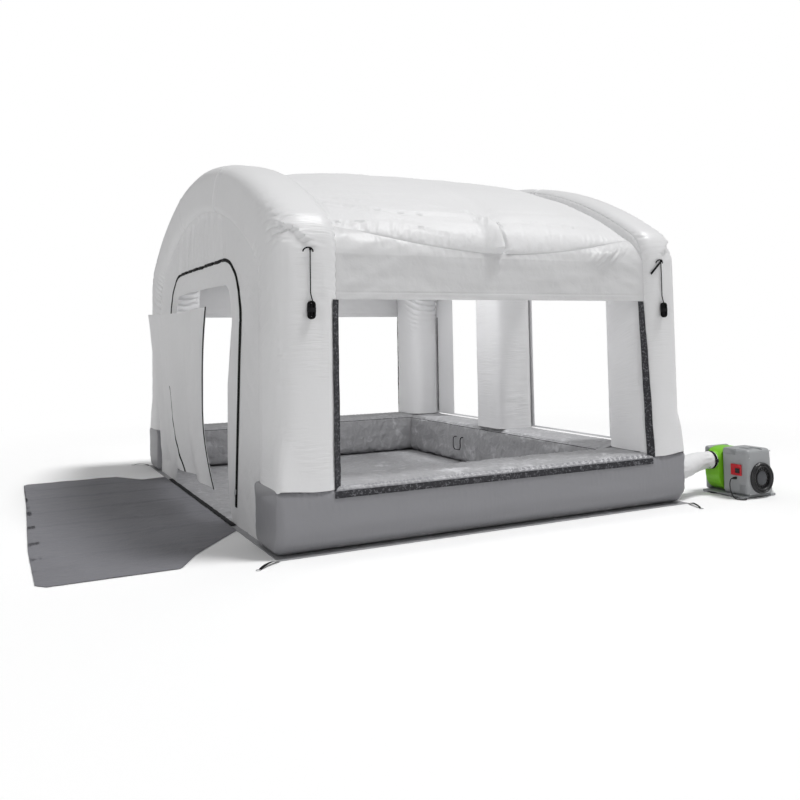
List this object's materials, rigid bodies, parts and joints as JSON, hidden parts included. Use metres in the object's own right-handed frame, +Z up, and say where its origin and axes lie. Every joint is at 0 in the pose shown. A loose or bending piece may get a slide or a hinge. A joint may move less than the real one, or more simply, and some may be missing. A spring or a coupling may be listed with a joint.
{
  "type": "inflatable paint booth",
  "caption": "Inflatable paint booth: air-filled arches on base tubes, cloth roof and walls, open sides, a zipped door flap, an entry mat and a blower joined by a sleeve.",
  "frame": {"origin": "on the ground under the middle of the booth footprint, on the underside of the floor sheet", "axes": "+X from the doorway end towards the blower end, +Y from the near side to the far side, +Z up"},
  "size_m": [5.0972, 4.2825, 2.5154],
  "materials": {
    "white_cloth": "coated, satin",
    "grey_cloth": "coated, satin",
    "floor_cloth": "coated, satin",
    "mat_cloth": "coated, dull",
    "hook_strip": "woven hook tape",
    "black_webbing": "woven",
    "plated_steel": "plated",
    "grey_housing": "moulded, fine grain",
    "green_housing": "moulded, satin",
    "black_plastic": "moulded",
    "red_plastic": "moulded",
    "black_rubber": "smooth"
  },
  "bodies": {
    "booth": {"base_tube_far": "grey_cloth", "base_tube_near": "grey_cloth", "base_tube_rear": "grey_cloth", "blower_base": "grey_housing", "blower_cord_gland": "black_rubber", "blower_front_cover": "grey_housing", "blower_intake_grille": "black_plastic", "blower_intake_ring": "black_plastic", "blower_lead_coil": "black_rubber", "blower_mains_lead": "black_rubber", "blower_motor": "plated_steel", "blower_plug": "black_rubber", "blower_rear_cover": "grey_housing", "blower_switch_box": "red_plastic", "blower_volute": "green_housing", "door_sill_strip": "black_webbing", "door_zip_tape": "black_webbing", "entry_mat": "mat_cloth", "far_left_hook_strip": "hook_strip", "far_right_hook_strip": "hook_strip", "far_sill_hook_strip": "hook_strip", "floor_sheet": "floor_cloth", "front_arch_tube": "white_cloth", "front_end_panel": "white_cloth", "guy_patch_far_left": "black_webbing", "guy_patch_far_right": "black_webbing", "guy_patch_near_left": "black_webbing", "guy_patch_near_right": "black_webbing", "inflation_sleeve": "white_cloth", "inner_handle": "black_webbing", "near_left_hook_strip": "hook_strip", "near_right_hook_strip": "hook_strip", "near_sill_hook_strip": "hook_strip", "rear_arch_tube": "white_cloth", "rear_corner_zip": "black_webbing", "rear_end_panel": "white_cloth", "rear_mid_column": "white_cloth", "roof_panel": "white_cloth", "side_valance_far": "white_cloth", "side_valance_near": "white_cloth", "sleeve_strap": "black_webbing"},
    "door_flap": {"door_flap": "white_cloth", "flap_zip_tape": "black_webbing"},
    "zip_slider": {"zip_slider": "plated_steel"},
    "zip_pull_tab": {"zip_pull_tab": "plated_steel"},
    "switch_rocker": {"blower_switch_rocker": "black_plastic"},
    "fan": {"blower_impeller": "black_plastic", "blower_motor_shaft": "plated_steel"},
    "guy_line_near_left": {"guy_line_near_left": "black_webbing"},
    "guy_line_near_right": {"guy_line_near_right": "black_webbing"},
    "guy_line_far_left": {"guy_line_far_left": "black_webbing"},
    "guy_line_far_right": {"guy_line_far_right": "black_webbing"},
    "anchor_strap_near_left": {"anchor_strap_near_left": "black_webbing"},
    "anchor_ring_near_left": {"anchor_ring_near_left": "plated_steel"},
    "anchor_strap_near_right": {"anchor_strap_near_right": "black_webbing"},
    "anchor_ring_near_right": {"anchor_ring_near_right": "plated_steel"},
    "anchor_strap_far_left": {"anchor_strap_far_left": "black_webbing"},
    "anchor_ring_far_left": {"anchor_ring_far_left": "plated_steel"},
    "anchor_strap_far_right": {"anchor_strap_far_right": "black_webbing"},
    "anchor_ring_far_right": {"anchor_ring_far_right": "plated_steel"}
  },
  "joints": [
    {"name": "door_flap_hinge", "type": "hinge", "parent": "booth", "child": "door_flap", "pos_m": [-1.47727, 1.05, 0.8], "axis": [0, 0, -1], "range_deg": [-1.5, 80]},
    {"name": "zip_slider_travel", "type": "slide", "parent": "booth", "child": "zip_slider", "axis": [0, -0.0928, 0.9957], "range_m": [0, 1.04]},
    {"name": "zip_pull_tab_hinge", "type": "hinge", "parent": "zip_slider", "child": "zip_pull_tab", "pos_m": [-1.48617, -1.01928, 0.21957], "axis": [0, 0.9957, 0.0928], "range_deg": [0, 150]},
    {"name": "switch_rocker_tilt", "type": "hinge", "parent": "booth", "child": "switch_rocker", "pos_m": [1.9607, -2.016, 0.195], "axis": [0, 1, 0], "range_deg": [-8, 8]},
    {"name": "fan_spin", "type": "hinge", "parent": "booth", "child": "fan", "pos_m": [2.105, -1.7967, 0.142], "axis": [0, 1, 0], "continuous": true},
    {"name": "guy_line_near_left_swing", "type": "hinge", "parent": "booth", "child": "guy_line_near_left", "pos_m": [-1.31, -1.98485, 1.708], "axis": [-1, 0, 0], "range_deg": [0, 110]},
    {"name": "guy_line_near_right_swing", "type": "hinge", "parent": "booth", "child": "guy_line_near_right", "pos_m": [1.32, -1.98485, 1.708], "axis": [-1, 0, 0], "range_deg": [0, 110]},
    {"name": "guy_line_far_left_swing", "type": "hinge", "parent": "booth", "child": "guy_line_far_left", "pos_m": [-1.31, 1.98485, 1.708], "axis": [1, 0, 0], "range_deg": [0, 110]},
    {"name": "guy_line_far_right_swing", "type": "hinge", "parent": "booth", "child": "guy_line_far_right", "pos_m": [1.32, 1.98485, 1.708], "axis": [1, 0, 0], "range_deg": [0, 110]},
    {"name": "anchor_strap_near_left_lift", "type": "hinge", "parent": "booth", "child": "anchor_strap_near_left", "pos_m": [-1.51047, -1.98037, 0.0008], "axis": [-0.6112, 0.7915, 0], "range_deg": [0, 70]},
    {"name": "anchor_ring_near_left_turn", "type": "hinge", "parent": "anchor_strap_near_left", "child": "anchor_ring_near_left", "pos_m": [-1.6425, -2.08231, 0.0018], "axis": [-0.6112, 0.7915, 0], "range_deg": [0, 90]},
    {"name": "anchor_strap_near_right_lift", "type": "hinge", "parent": "booth", "child": "anchor_strap_near_right", "pos_m": [1.50835, -1.98471, 0.0008], "axis": [-0.9435, 0.3312, 0], "range_deg": [0, 70]},
    {"name": "anchor_ring_near_right_turn", "type": "hinge", "parent": "anchor_strap_near_right", "child": "anchor_ring_near_right", "pos_m": [1.4531, -2.14209, 0.0018], "axis": [-0.9435, 0.3312, 0], "range_deg": [0, 90]},
    {"name": "anchor_strap_far_left_lift", "type": "hinge", "parent": "booth", "child": "anchor_strap_far_left", "pos_m": [-1.51045, 1.9804, 0.0008], "axis": [0.6606, 0.7507, 0], "range_deg": [0, 70]},
    {"name": "anchor_ring_far_left_turn", "type": "hinge", "parent": "anchor_strap_far_left", "child": "anchor_ring_far_left", "pos_m": [-1.63567, 2.09059, 0.0018], "axis": [0.6606, 0.7507, 0], "range_deg": [0, 90]},
    {"name": "anchor_strap_far_right_lift", "type": "hinge", "parent": "booth", "child": "anchor_strap_far_right", "pos_m": [1.51045, 1.9804, 0.0008], "axis": [0.6606, -0.7507, 0], "range_deg": [0, 70]},
    {"name": "anchor_ring_far_right_turn", "type": "hinge", "parent": "anchor_strap_far_right", "child": "anchor_ring_far_right", "pos_m": [1.63567, 2.09059, 0.0018], "axis": [0.6606, -0.7507, 0], "range_deg": [0, 90]}
  ]
}
